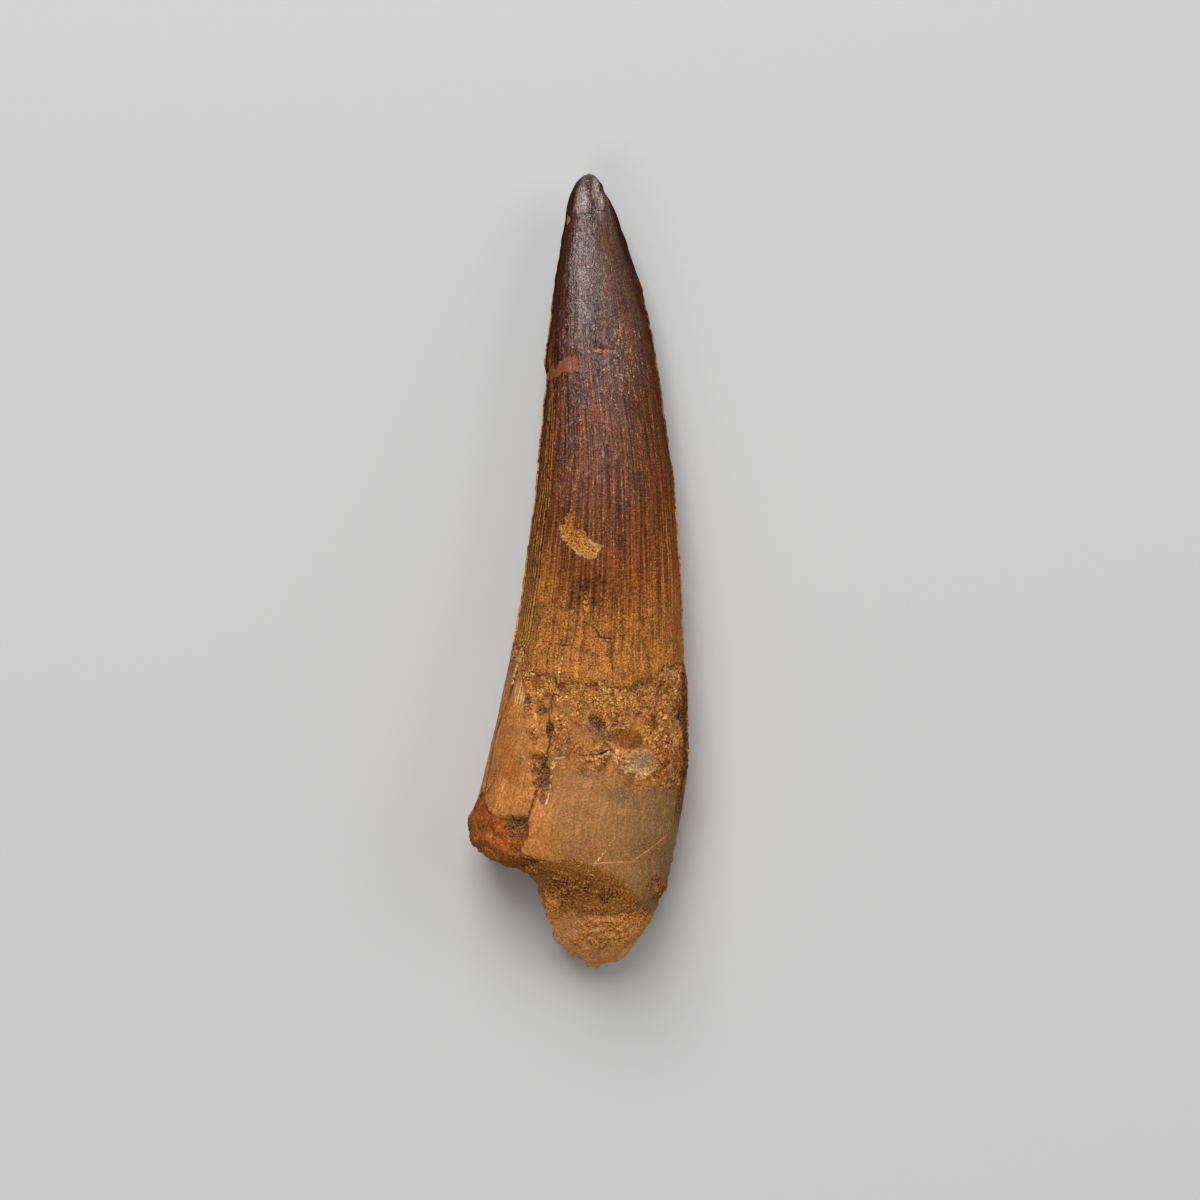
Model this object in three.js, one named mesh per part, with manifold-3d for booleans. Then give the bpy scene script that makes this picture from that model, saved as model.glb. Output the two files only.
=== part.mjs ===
// A large fossil tooth of Spinosaurus: a fluted, conical crown on a broken root, grown as one piece.
//
// Millimetres, +Z up. The tooth lies on its side with the tip along +Y. Its two cutting edges, the carinae,
// run along the left (-X) and right (+X) of the crown. It rests on a small worn flat under the root, at Z = 0,
// and the origin is on that plane, under the middle of the tooth's bounding box.
//
// Every place on the tooth is given by its distance from the tip and by its angle round the section: 0 is the
// right carina, 90 degrees the middle of the upper face, 180 the left carina and 270 the middle of the lower face.

import * as THREE from "three";
import { ImprovedNoise } from "three/addons/math/ImprovedNoise.js";
import { mergeVertices } from "three/addons/utils/BufferGeometryUtils.js";
import Module from "manifold-3d";

// Driving dimensions.
const toothLength = 127; // tip to the longest splinter of the root
const fluteCount = 36; // lengthwise flutes all round the crown
const fluteDepth = 0.3;
const carinaHeight = 0.5; // how far the cutting edges stand out
const carinaHalfWidth = 0.12; // of a cutting edge, as the sine of the section angle
const enamelThickness = 0.45; // step from the enamel down to the bare root
const crustHeight = 0.28; // lumps of the crusted root below the enamel
const crustSize = 2.4;
const breakHeight = 0.75; // lumps of the broken surfaces at the root's end
const breakSize = 3.2;
const crestShift = 0.7; // the upper face is highest a little left of the middle

// Stretches along the tooth, as two distances from the tip, over which something grows to its full size.
const carinaeGrow = [3, 10];
const flutesGrow = [10, 30];
const flutesFade = [62, 78];
const flutesLost = 0.6; // share of the flutes' depth that has gone at the end of the crown
const crustFades = [94, 99];
const crustLost = 0.75;
const lobeBreaks = [100, 104];
const lobeEdge = [0.35, 0.6]; // share of the half width, left of the middle
const endBreaks = [108.5, 112];
// The same, by the half width of the section.
const reliefGrows = [0, 2.5];
const crestGrows = [2, 8];
// The same, counted from the enamel's end.
const enamelEnds = [-0.3, 0.9];
const ledgeFades = [4, 15];
const crustGrows = [0, 2];

// Fineness of the faceted solid: two columns to a flute, and rings that crowd where the shape turns.
const columns = 2 * fluteCount;
const rings = 66;

// Profiles: pairs of distance from the tip and value. A smooth curve that never overshoots joins them.
const leftEdge = smoothProfile([
  [0, 1.7], [0.6, 0.5], [2, -0.6], [5, -1.8], [17, -3.8], [31.5, -5.4], [35, -5.2], [38, -5.8], [52, -6.9],
  [68, -9.3], [87, -12.75], [98.4, -15.5], [101.6, -17], [103.1, -17.4], [105.6, -17.3], [107.5, -16.3],
  [110.2, -12.5], [110.9, -9.3], [112.5, -7.6], [114.2, -6.2], [118.5, -5.1], [119.6, -4.2], [122, -3.5],
  [124.2, -1.9], [125.5, 0.7], [126.3, 1.2], [127, 2.6],
]);
const rightEdge = smoothProfile([
  [0, 1.7], [0.5, 2.8], [1.2, 3.45], [4.2, 5.1], [12.1, 8], [18.9, 10.3], [27.3, 12], [38.9, 13.65],
  [49.5, 15.3], [60, 16.1], [79, 17], [86, 17.4], [96.7, 17], [108.6, 14.9], [115, 13.3], [119.2, 11.4],
  [123.7, 8.6], [126, 6.2], [126.3, 3.9], [127, 2.6],
]);
const upperFace = smoothProfile([
  [0, 6.8], [0.4, 7.9], [1.2, 8.7], [3.3, 10], [8, 11.7], [14, 13.1], [22, 14.6], [32, 16.2], [44, 17.6],
  [60, 19.3], [77, 21.2], [90, 22.2], [104, 21.9], [108.5, 21.4], [112, 20.6], [116, 19.2], [120, 17.2],
  [124, 14.2], [126.4, 9.5], [127, 5.2],
]);
const lowerFace = smoothProfile([
  [0, 6.8], [0.4, 5.9], [1.2, 5.3], [3.3, 4.7], [8, 3.9], [14, 3.1], [22, 2.1], [32, 1.1], [44, 0.3],
  [58, -0.25], [74, -0.4], [92, -0.45], [106, -0.2], [112, 0.5], [118, 1.5], [124, 2.8], [126.6, 3.9],
  [127, 5.2],
]);
const carinaLevel = smoothProfile([
  [0, 6.8], [8, 7.5], [22, 7.9], [44, 8.4], [77, 9.7], [104, 9.8], [112, 7.8], [120, 5.8], [127, 5.2],
]);
// Exponent of the section's superellipse: 2 is an ellipse, and more is boxier.
const boxiness = smoothProfile([
  [0, 2], [12, 2.15], [60, 2.3], [96, 2.5], [106, 2.9], [114, 2.6], [127, 2.2],
]);
// Share of the rings down to each distance, read the other way round: ring share, distance from the tip.
const ringPlace = smoothProfile([
  [0, 0], [0.035, 0.45], [0.1, 4], [0.36, 72], [0.66, 100], [0.75, 107.5], [0.83, 112], [0.93, 124.5],
  [1, toothLength],
]);
// Where the enamel ends: share of the half width from the middle (-1 left, 1 right), distance from the tip.
const enamelEndAbove = smoothProfile([
  [-1, 75], [-0.85, 77.5], [-0.6, 79.8], [-0.2, 81], [0.2, 81.2], [0.5, 82.8], [0.66, 80.4], [0.8, 78.6],
  [1, 78.4],
]);
const enamelEndBelow = smoothProfile([[-1, 75], [-0.5, 79.5], [0.1, 81.5], [0.6, 80], [1, 78.4]]);

// Marks in the upper and lower faces: centre, half sizes and turn of an oval, and how far it rises or sinks.
const upperMarks = [
  { x: -1.9, s: 31, across: 2.4, along: 1.6, turn: 15, rise: -0.35 }, // shallow spall by the left carina
  { x: -1.6, s: 56.5, across: 1.3, along: 3.4, turn: 10, rise: -0.4 }, // upper arm of the hooked flake scar
  { x: 0.9, s: 60, across: 2.7, along: 1.3, turn: -30, rise: -0.4 }, // its lower arm
  { x: 9.1, s: 82.2, across: 2.3, along: 1.1, turn: 28, rise: -0.8 }, // cavity under the enamel's edge
  { x: -5.6, s: 85.6, across: 1.6, along: 1.2, turn: 0, rise: -0.6 }, // pit left of the long crack
  { x: 3, s: 87.8, across: 1.6, along: 1.1, turn: 15, rise: -0.7 }, // three-cornered pit
  { x: 8.6, s: 89.3, across: 1.4, along: 2.8, turn: -50, rise: 0.45 }, // brown nodule
  { x: 9, s: 93, across: 2.8, along: 1.9, turn: 0, rise: 0.5 }, // grey nodule
  { x: -5.8, s: 96.8, across: 1.4, along: 3.8, turn: -5, rise: -1 }, // long cavity on the crack
  { x: -9.4, s: 104.4, across: 2, along: 2, turn: 0, rise: -0.8 }, // pit under the broken plate
  { x: 3.2, s: 113.8, across: 6.8, along: 3.8, turn: -18, rise: -1.5 }, // the scoop above the root's tongue
  { x: 9.6, s: 118, across: 1.8, along: 2.2, turn: 35, rise: 0.5 }, // crust beside the scoop
];
const markRim = [0.55, 1.15]; // share of an oval's half size over which it fades
const lowerMarks = [
  { x: 8.5, s: 47, across: 1.6, along: 4.2, turn: 8, rise: -0.35 }, // flake scar in the enamel
  { x: -7.5, s: 90, across: 2, along: 3, turn: -20, rise: -0.8 }, // pit in the root
  { x: 9.5, s: 98, across: 1.5, along: 4.5, turn: 5, rise: -0.8 }, // long cavity in the root
  { x: -8, s: 102.5, across: 2.6, along: 2.4, turn: 0, rise: -0.7 }, // broken hollow in the lobe
];

// Cracks: a path across the face, with its half width and depth.
const upperCracks = [
  { path: [[-2.7, 76.5], [-3.5, 80.5], [-4.4, 86.6], [-4.3, 90.5], [-5.4, 94]], halfWidth: 0.8, depth: 0.55 },
  { path: [[-6.4, 100], [-8.2, 102.8]], halfWidth: 0.9, depth: 0.4 },
  { path: [[1, 92.6], [4.1, 92], [6.1, 92]], halfWidth: 0.7, depth: 0.35 },
];
const lowerCracks = [
  { path: [[2.5, 78], [3.4, 88], [2.2, 97], [4.2, 107]], halfWidth: 0.9, depth: 0.5 },
];

// The root's end has broken off slantwise: x and distance from the tip where the sound surface stops, and how
// far the broken surface has fallen at each distance past that line.
const soundEnd = smoothProfile([
  [-17, 107], [-9.3, 108.2], [-5.4, 109.8], [-1.2, 109.1], [1.4, 109.9], [4.7, 111.4], [8.3, 113.4],
  [9.6, 115.4], [12, 117], [15, 115],
]);
const breakFall = smoothProfile([[0, 0], [0.8, 0.9], [2, 2.2], [4, 3.4], [8, 4.8], [12, 5.4], [20, 5.6]]);
const leastRise = 0.3; // share of the sound height above the carinae that the break always leaves

// The left plate of the root has broken away along this line, and the lobe below it lies lower.
const plateEdge = smoothProfile([[-17.5, 97.5], [-14.4, 101], [-11, 102.5], [-7.6, 103.2]]);
const plateRightEnd = -7;
const plateStep = 1; // width of the sloping step along the plate's edge
const plateThickness = 0.9;

const noise = new ImprovedNoise();
const { smoothstep, degToRad } = THREE.MathUtils;

// Gives a function that runs through the points by monotone cubic pieces.
function smoothProfile(points) {
  const slopes = points.slice(1).map(([s, v], i) => (v - points[i][1]) / (s - points[i][0]));
  const tangents = points.map((point, i) => {
    const before = slopes[i - 1] ?? slopes[i];
    const after = slopes[i] ?? slopes[i - 1];
    return before * after <= 0 ? 0 : (2 * before * after) / (before + after);
  });
  return (s) => {
    const next = points.findIndex(([end]) => end > s);
    if (next === 0) return points[0][1];
    if (next < 0) return points.at(-1)[1];
    const [[startS, startV], [endS, endV]] = [points[next - 1], points[next]];
    const span = endS - startS;
    const t = (s - startS) / span;
    const bend = tangents[next - 1] * (1 - t) - tangents[next] * t;
    const straight = startV + (endV - startV) * t * t * (3 - 2 * t);
    return straight + t * (1 - t) * span * bend;
  };
}

// Noise whose lumps are roughly `size` millimetres across, stretched to reach about -1 and 1.
function lumps(x, y, z, size) {
  return 1.6 * noise.noise(x / size, y / size, z / size);
}

// 1 in the middle of an oval mark, falling to 0 across its rim.
function insideMark(mark, x, s) {
  const turn = degToRad(mark.turn);
  const dx = x - mark.x;
  const ds = s - mark.s;
  const across = (dx * Math.cos(turn) - ds * Math.sin(turn)) / mark.across;
  const along = (dx * Math.sin(turn) + ds * Math.cos(turn)) / mark.along;
  return 1 - smoothstep(Math.hypot(across, along), ...markRim);
}

// 1 on a crack's path, falling to 0 at its half width.
function insideCrack(crack, x, s) {
  const point = new THREE.Vector3(x, s, 0);
  const nearest = new THREE.Vector3();
  const distances = crack.path.slice(1).map((end, i) => {
    const piece = new THREE.Line3(new THREE.Vector3(...crack.path[i], 0), new THREE.Vector3(...end, 0));
    return piece.closestPointToPoint(point, true, nearest).distanceTo(point);
  });
  return 1 - smoothstep(Math.min(...distances), 0, crack.halfWidth);
}

// 1 on the lobe that the broken plate has left lower, 0 elsewhere.
function insideLobe(x, s) {
  const edge = plateEdge(x);
  const below = smoothstep(s, edge, edge + plateStep);
  return below * (1 - smoothstep(x, plateRightEnd - plateStep, plateRightEnd));
}

// How high a cutting edge stands at a distance from the tip: `side` is -1 for the left one, 1 for the right.
function carinaRise(s, side) {
  const enamelEnd = enamelEndAbove(side);
  return carinaHeight * smoothstep(s, ...carinaeGrow) * (1 - smoothstep(s - enamelEnd, ...enamelEnds));
}

// How far the surface stands above or below the smooth tooth at a place on it.
function relief(x, s, z, angle, halfWidthShare) {
  const isUpper = Math.sin(angle) > 0;
  const enamelEnd = (isUpper ? enamelEndAbove : enamelEndBelow)(halfWidthShare);
  const pastEnamel = s - enamelEnd;
  const enamel = 1 - smoothstep(pastEnamel, ...enamelEnds);
  const fluted = enamel * smoothstep(s, ...flutesGrow) * (1 - flutesLost * smoothstep(s, ...flutesFade));
  const flutes = (fluteDepth * fluted * (Math.cos(fluteCount * angle) - 1)) / 2;
  const fromCarina = Math.abs(Math.sin(angle));
  const carina = carinaRise(s, Math.sign(Math.cos(angle))) * (1 - smoothstep(fromCarina, 0, carinaHalfWidth));

  const ledge = enamelThickness * (1 - enamel) * (1 - smoothstep(pastEnamel, ...ledgeFades));
  const crusted = smoothstep(pastEnamel, ...crustGrows) * (1 - crustLost * smoothstep(s, ...crustFades));
  const brokenLobe = smoothstep(s, ...lobeBreaks) * smoothstep(-halfWidthShare, ...lobeEdge);
  const broken = Math.min(brokenLobe + smoothstep(s, ...endBreaks), 1);
  let facing = crusted * crustHeight * lumps(x, s, z, crustSize) - ledge;
  facing += broken * breakHeight * lumps(x, s, z, breakSize);
  for (const mark of isUpper ? upperMarks : lowerMarks) facing += mark.rise * insideMark(mark, x, s);
  for (const crack of isUpper ? upperCracks : lowerCracks) facing -= crack.depth * insideCrack(crack, x, s);
  if (isUpper) facing -= plateThickness * insideLobe(x, s);

  // What lies on the two faces fades towards the edges, so that the tooth keeps its outline.
  return flutes + carina + facing * Math.sqrt(fromCarina);
}

// A point of the surface, in the tooth's own frame with the tip at +Y.
function surfacePoint(s, angle) {
  const left = leftEdge(s) + carinaRise(s, -1);
  const right = rightEdge(s) - carinaRise(s, 1);
  const halfWidth = (right - left) / 2;
  const power = 2 / boxiness(s);
  const acrossShare = Math.sign(Math.cos(angle)) * Math.abs(Math.cos(angle)) ** power;
  const upShare = Math.sign(Math.sin(angle)) * Math.abs(Math.sin(angle)) ** power;
  const crest = crestShift * smoothstep(halfWidth, ...crestGrows) * Math.max(upShare, 0) ** 2;
  const x = (left + right) / 2 + halfWidth * acrossShare - crest;

  const level = carinaLevel(s);
  const soundRise = upperFace(s) - level;
  const brokenRise = Math.max(soundRise - breakFall(s - soundEnd(x)), leastRise * soundRise);
  const rise = Math.sin(angle) > 0 ? brokenRise : level - lowerFace(s);

  const outward = new THREE.Vector2(acrossShare * rise, upShare * halfWidth).normalize();
  const z = level + rise * upShare;
  const height = smoothstep(halfWidth, ...reliefGrows) * relief(x, s, z, angle, acrossShare);
  return new THREE.Vector3(x + outward.x * height, toothLength / 2 - s, z + outward.y * height);
}

// A sphere drawn out into the tooth: its poles become the tip and the end of the root.
function toothGeometry() {
  const geometry = new THREE.SphereGeometry(1, columns, rings);
  const position = geometry.attributes.position;
  const point = new THREE.Vector3();
  for (let i = 0; i < position.count; i++) {
    point.fromBufferAttribute(position, i);
    const ringShare = Math.acos(THREE.MathUtils.clamp(point.y, -1, 1)) / Math.PI;
    const angle = Math.atan2(point.z, point.x);
    position.setXYZ(i, ...surfacePoint(ringPlace(ringShare), angle));
  }
  return geometry;
}

function solidFrom(wasm, geometry) {
  const shape = geometry.clone();
  shape.deleteAttribute("normal");
  shape.deleteAttribute("uv");
  const merged = mergeVertices(shape, 1e-3);
  return new wasm.Manifold(
    new wasm.Mesh({
      numProp: 3,
      vertProperties: merged.attributes.position.array,
      triVerts: new Uint32Array(merged.index.array),
    }),
  );
}

function geometryFrom(solid) {
  const mesh = solid.getMesh();
  return new THREE.BufferGeometry()
    .setAttribute("position", new THREE.BufferAttribute(mesh.vertProperties, 3))
    .setIndex(new THREE.BufferAttribute(mesh.triVerts, 1));
}

// The worn flat: all that would reach below Z = 0 is ground away.
function groundFlat(wasm, geometry) {
  const blockSize = 2 * toothLength;
  const block = new THREE.BoxGeometry(blockSize, blockSize, blockSize).translate(0, 0, -blockSize / 2);
  return geometryFrom(solidFrom(wasm, geometry).subtract(solidFrom(wasm, block)));
}

function centredOverOrigin(geometry) {
  geometry.computeBoundingBox();
  const middle = geometry.boundingBox.getCenter(new THREE.Vector3());
  return geometry.translate(-middle.x, -middle.y, 0);
}

const wasm = await Module();
wasm.setup();

const fossilMaterial = new THREE.MeshStandardMaterial({ color: 0x94603a, roughness: 0.6, metalness: 0 });
const toothShape = centredOverOrigin(groundFlat(wasm, toothGeometry()));
toothShape.computeVertexNormals();
const tooth = new THREE.Mesh(toothShape, fossilMaterial);
tooth.name = "tooth";

const specimen = new THREE.Group();
specimen.add(tooth);

export default specimen;
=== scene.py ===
import math
from types import SimpleNamespace

import bmesh
import bpy
import numpy as np
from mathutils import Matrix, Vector, noise


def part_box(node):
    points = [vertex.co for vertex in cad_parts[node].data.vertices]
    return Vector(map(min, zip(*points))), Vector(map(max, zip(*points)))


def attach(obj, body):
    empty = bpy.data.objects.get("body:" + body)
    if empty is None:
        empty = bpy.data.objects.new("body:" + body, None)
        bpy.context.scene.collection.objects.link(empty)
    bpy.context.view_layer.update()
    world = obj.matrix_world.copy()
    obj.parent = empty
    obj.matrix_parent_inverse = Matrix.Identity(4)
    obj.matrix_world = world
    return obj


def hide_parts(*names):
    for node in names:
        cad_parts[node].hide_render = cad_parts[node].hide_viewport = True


# A large fossil tooth of Spinosaurus, lying on its side with the tip along +Y.
# Places on it are in millimetres: x to the right, s down from the tip, z up from the floor.

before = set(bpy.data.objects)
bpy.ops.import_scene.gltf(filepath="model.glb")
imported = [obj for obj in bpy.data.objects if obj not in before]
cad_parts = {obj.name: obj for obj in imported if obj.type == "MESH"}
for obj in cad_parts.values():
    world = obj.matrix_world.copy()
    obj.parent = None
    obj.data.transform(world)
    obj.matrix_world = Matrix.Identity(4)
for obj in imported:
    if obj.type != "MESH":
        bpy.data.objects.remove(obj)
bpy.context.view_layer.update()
mm = 0.001

tooth = {  # lengths in millimetres; stretches are two distances from the tip
    "columns": 384,  # of the mesh, round the tooth
    "rings": 258,  # of the mesh, along it
    "topCrowding": 0.3,  # more of the columns go to the upper face
    "meanRadius": 11,
    "fluteCount": 84,  # all round the crown
    "fluteDepth": 0.13,
    "flutesGrow": (30, 56),
    "flutesWear": (58, 70),
    "leftStrip": (0.7, 0.84),  # shares of the half width, where the flutes stay sharp
    "carinaHeight": 0.5,
    "carinaeGrow": (3, 10),
    "enamelStep": 0.4,  # the enamel stands this far above the root
    "ledgeFades": (3, 14),  # past the enamel's end
    "flakeDepth": 0.3,
    "spallDepth": 0.25,
    "crustHeight": 0.36,
    "crackDepth": 0.6,
    "crackHalfWidth": 0.25,
    "notchDepth": 0.4,  # along the broken edges
    "lobeDepth": 0.5,
    "lobeKnobs": 0.95,
}

# ---- numbers along the tooth: pairs of distance from the tip and value

leftEdgePoints = [
    (0, 1.7), (0.6, 0.5), (2, -0.6), (5, -1.8), (8, -2.3), (17, -3.8), (26.5, -4.9), (30.3, -5.45), (31.6, -5.3),
    (32.5, -5.05), (34.9, -5.25), (36.8, -5.6), (44.2, -6.4), (52.4, -7), (56.9, -7.75), (66, -8.9), (75, -10.4),
    (80.5, -11.5), (87.8, -13), (95.6, -14.9), (98.3, -15.5), (101.1, -16.6), (102.9, -17.5), (104, -17.3),
    (105.6, -17.45), (107.1, -16.6), (108.3, -15.6), (109.3, -13.5), (109.9, -12), (110.4, -10.2), (110.8, -8.8),
    (111.8, -7.6), (112.9, -6.7), (114.6, -5.9), (117.4, -5.1), (119.4, -4.1), (120.7, -3.8), (122, -3.6),
    (123.2, -2.6), (124.2, -1.9), (125, -0.7), (125.3, 0.4), (125.7, 1), (126.2, 1.3), (126.88, 1.5), (127, 2.6),
]
rightEdgePoints = [
    (0, 1.7), (0.25, 2.5), (0.8, 3.1), (1.9, 3.9), (3.1, 4.3), (4.1, 5), (7, 6.3), (10.8, 7.7), (14.6, 8.9),
    (17.9, 10), (20.2, 10.5), (26.5, 12), (34.7, 13.2), (40.7, 14.1), (44.3, 14.65), (46.2, 15), (49.5, 15.5),
    (58.8, 16), (66.5, 16.6), (77.6, 16.9), (81.7, 17.4), (89.7, 17.4), (97.6, 17), (104, 16), (109.1, 15),
    (113.2, 14.1), (114.7, 13.6), (115.5, 13), (118.1, 11.9), (120.9, 10.4), (123.4, 8.8), (124.5, 7.9),
    (125.5, 6.9), (126, 6), (126.15, 4.2), (126.35, 3.7), (126.88, 3.5), (127, 2.6),
]
upperFacePoints = [
    (0, 6.8), (0.4, 7.9), (1.2, 8.7), (3.3, 10), (8, 11.7), (14, 13.1), (22, 14.6), (32, 16.2), (44, 17.6),
    (60, 19.3), (77, 21.2), (90, 22.2), (104, 21.9), (108.5, 21.4), (112, 20.7), (116, 19.7), (120, 18.4),
    (124, 16.6), (126.4, 12), (127, 5.2),
]
lowerFacePoints = [
    (0, 6.8), (0.4, 5.9), (1.2, 5.3), (3.3, 4.7), (8, 3.9), (14, 3.1), (22, 2.1), (32, 1.1), (44, 0.3),
    (58, -0.25), (74, -0.4), (92, -0.45), (106, -0.2), (112, 0.5), (118, 1.5), (124, 2.8), (126.6, 3.9), (127, 5.2),
]
carinaLevelPoints = [
    (0, 6.8), (8, 7.5), (22, 7.9), (44, 8.4), (77, 9.7), (104, 9.8), (112, 7.8), (120, 5.8), (127, 5.2),
]
crestShiftPoints = [(0, 0), (4, 0.2), (13, 1.4), (28, 1.7), (46, 0.8), (127, 0.6)]  # highest left of the middle
boxinessPoints = [(0, 2), (3, 2.4), (12, 2.3), (60, 2.3), (96, 2.5), (106, 2.9), (114, 3.3), (123, 3.4), (127, 2.6)]
ringPlacePoints = [(0, 0), (0.014, 0.4), (0.045, 3), (0.42, 73.5), (0.93, 124), (0.987, 126.8), (1, 127)]
# across the tooth instead: share of the half width, -1 left to 1 right, and distance from the tip
enamelEndAbovePoints = [
    (-1, 74.6), (-0.82, 75.4), (-0.76, 76.6), (-0.66, 77.9), (-0.55, 79.7), (-0.42, 79.6), (-0.35, 80.9),
    (-0.12, 80.7), (0.1, 80.5), (0.2, 81.3), (0.36, 81.6), (0.48, 82.4), (0.62, 80.4), (0.74, 78.4), (1, 78),
]
enamelEndBelowPoints = [(-1, 74.6), (-0.6, 78.5), (-0.3, 79.2), (0.1, 81.5), (0.35, 80.2), (0.6, 81), (1, 78)]
# x and distance from the tip where the sound surface of the root stops, and the fall past that line
soundEndPoints = [
    (-17, 107), (-9, 107.4), (-5.2, 108.7), (-1.1, 108), (0.8, 108.3), (1.5, 108.8), (4.7, 110.3),
    (8.2, 112.6), (9.3, 114.6), (10.5, 116.2), (12, 114), (14, 112), (17, 110),
]
breakFallPoints = [(0, 0), (1, 0.12), (3, 0.5), (6, 1.3), (9, 2.4), (12, 3.9), (20, 7.4)]
# share of the half width, and distance from the tip where the brown enamel turns pale
brownEndPoints = [(-1, 63), (-0.72, 64), (-0.3, 68), (-0.1, 70.5), (0.6, 70), (0.74, 68), (1, 66)]

# ---- marks: x, s, half size across, half size along, turn in degrees, depth (below 0 it rises)

upperPits = [
    (9.6, 81.4, 2, 0.75, 28, 0.55), (-5.5, 85.4, 1.3, 0.9, 20, 0.55), (-8, 83.8, 0.6, 0.7, 0, 0.5),
    (-4.4, 88.2, 0.7, 1.5, 0, 0.75), (2.9, 86.9, 1.4, 0.9, -25, 0.55), (-5.7, 96, 1.6, 3.8, 5, 0.85),
    (-9.2, 103.4, 1.9, 2, 20, 0.9), (-6.9, 109.6, 0.9, 0.5, 20, 0.35), (16, 85.5, 0.7, 2, 10, 0.3),
    (2.2, 4.4, 0.4, 2.6, -5, 0.08), (3.3, 4.4, 0.6, 2.6, -9, -0.1), (3.8, 29, 1, 0.16, 0, 0.25),
]
lowerPits = [(-7.5, 90, 1.6, 2.6, -20, 0.8), (8.8, 97, 1.2, 4, 5, 0.8), (-9, 103, 2.2, 1.9, 0, 0.8)]
upperNodules = [(7.9, 89.6, 1.8, 1.9, -35, -0.35), (10, 93, 2.9, 1.9, 0, -0.4)]
lowerNodules = [(1.5, 88, 2.6, 2, 20, -0.5)]
scoopDish = (2.6, 113.4, 8.2, 4.6, -14, 0.7)
gritPatches = [
    (-1.8, 113.4, 2.9, 1.9, 0, 0), (4, 114, 2, 1.2, 0, 0), (6.2, 118.9, 4.4, 1.3, 8, 0),
    (12.9, 113.6, 1.4, 2.6, 18, 0), (10.2, 118.4, 1.6, 2.4, 30, 0), (-4.4, 117.2, 1.6, 3, -22, 0),
    (4.5, 121.4, 6, 1.5, 0, 0),
]
flakeOutline = [
    (-0.9, 52.5), (-1.4, 54.5), (-2.1, 55.1), (-1.9, 56), (-2.8, 56.8), (-2.4, 58.1), (-1.9, 59.1), (-1, 59.5),
    (0, 60.7), (1.3, 61.3), (2.7, 61.6), (2.9, 60.5), (3.6, 59.8), (2.7, 59.6), (1.9, 59.3), (1.3, 58.2),
    (1.1, 57.2), (-0.4, 57.2), (-0.9, 56.4), (-0.3, 55.3), (-0.6, 54),
]
spallOutline = [
    (-5.6, 31.9), (-3.7, 31.6), (-2.4, 30.1), (-0.3, 29.6), (0.3, 30.5), (0.2, 31.9), (-1.1, 32.7), (-2.3, 32.5),
    (-3.4, 33.2), (-5.6, 33.6),
]
lowerFlakeOutline = [(7, 43), (9.6, 42), (10.6, 46), (9.9, 51), (8, 52.5), (7.2, 48)]
lobeOutline = [
    (-18, 95.5), (-14.7, 95.5), (-14.5, 99.1), (-13.7, 100.9), (-11.4, 101.5), (-10.6, 102), (-8, 101.9),
    (-7.1, 104), (-8.6, 107.4), (-5.6, 109.2), (-6.5, 111), (-9, 114), (-18, 112),
]
# distance from the tip, and x of the crack there
longCrack = [
    (76.5, -2.4), (79.3, -3.1), (82.1, -3.6), (86.1, -4.5), (89.9, -4.4), (95.5, -5.7), (99, -6.5), (103, -8.3),
]
lowerCrack = [(76, 2.3), (84, 3.4), (93, 2.2), (100, 3.6), (108, 3)]

thinLines = {  # each a list of places (x, s)
    "dark": [
        [(-0.6, 7.1), (1.5, 6.9), (3.8, 6.4)],
        [(-9.9, 79.1), (-11.3, 84), (-13.1, 89.9), (-14.3, 95.9), (-14.8, 99.3), (-14.1, 101.1), (-12.6, 101.9),
         (-8.6, 102.3)],
        [(-9, 107.2), (-8.1, 107.7), (-6.8, 108.4), (-5.1, 108.6)], [(-8.8, 110), (-6.2, 108.8)],
        [(1.5, 71.8), (2.8, 72.6), (3.4, 73.9), (4.6, 74.1)], [(0.6, 92.2), (3.2, 92), (5.4, 91.2), (6, 92.4)],
        [(-13.3, 96.6), (-14.2, 98.2), (-15.6, 99)], [(-4.6, 74.8), (-1.8, 75.2)],
    ],
    "gold": [
        [(2.1, 108.9), (8.5, 108.7), (11.2, 106.9), (13.5, 105.3)],
        [(5.7, 92), (6.3, 93.2), (7.4, 94.6), (10.4, 95.2), (14.5, 93.4)],
        [(4.5, 3.2), (5.1, 7), (5.3, 11.6)],
    ],
    "pale": [
        [(-9.4, 76.7), (-10.6, 81)], [(-9.3, 82.3), (-8.9, 83.8)], [(-2.4, 77), (-2.9, 79.4)],
        [(13.9, 77.8), (13.8, 79.8)], [(-5.2, 91.8), (-4, 93.2), (-4.2, 94.4)],
        [(-4.1, 95.6), (-4.4, 97.6), (-4.9, 99.6)], [(-3.4, 92.6), (-1.8, 92.4)], [(-8, 92.8), (-7.2, 94)],
        [(2.2, 92.4), (3.8, 92.3), (5.2, 91.6)], [(3.3, 108.2), (4.7, 106.3)], [(-3.6, 93.4), (-3.8, 95.2)],
        [(-6.9, 85.6), (-6.6, 86.6)], [(-5.2, 99.8), (-5.6, 101.4)],
    ],
}
farOff = -9.0  # a distance in millimetres that stands for nowhere near


def smooth(value, low, high):  # 0 below low, 1 above high, and an even S between them
    t = np.clip((value - low) / (high - low), 0, 1)
    return t * t * (3 - 2 * t)


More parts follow.
